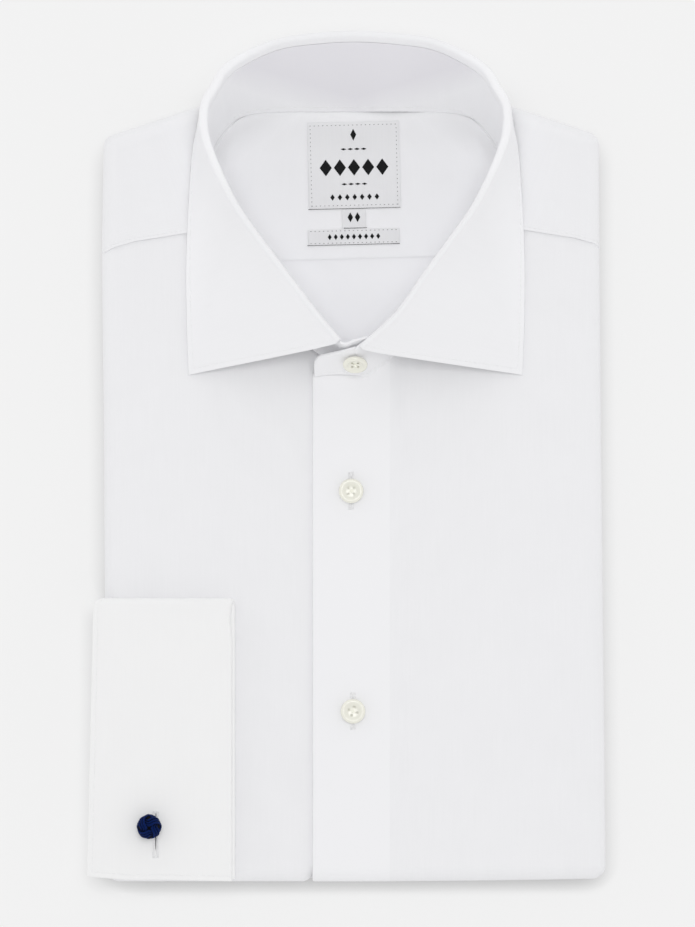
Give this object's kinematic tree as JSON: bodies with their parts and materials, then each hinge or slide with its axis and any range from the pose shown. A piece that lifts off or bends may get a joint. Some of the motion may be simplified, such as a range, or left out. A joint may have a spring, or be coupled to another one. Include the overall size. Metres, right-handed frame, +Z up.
{
  "type": "long sleeve dress shirt",
  "caption": "Men's white dress shirt folded flat for display, with a buttoned cutaway collar and a French cuff laid on its front, closed with a navy silk knot.",
  "frame": {"origin": "on the surface the folded shirt lies on, under the middle of its outline", "axes": "+X to the right of someone who looks down at the shirt's front, +Y towards the collar, +Z up out of the front"},
  "size_m": [0.2307, 0.3783, 0.0587],
  "materials": {
    "white_cotton": "matt, fine plain-woven cotton",
    "navy_silk": "twisted silk cord with a low sheen",
    "cream_button": "polished, pearl-like",
    "woven_label": "satin-woven label"
  },
  "bodies": {
    "root": {"front_left": "white_cotton", "front_right": "white_cotton", "yoke_outer": "white_cotton", "yoke_inner": "white_cotton", "back": "white_cotton", "folded_layers": "white_cotton", "collar_band": "white_cotton", "collar_leaf": "white_cotton", "cuff": "white_cotton", "sleeve": "white_cotton", "silk_knot": "navy_silk", "button_front_1": "cream_button", "button_front_2": "cream_button", "button_collar": "cream_button", "label_main": "woven_label", "label_size": "woven_label", "label_lower": "woven_label"}
  },
  "joints": []
}
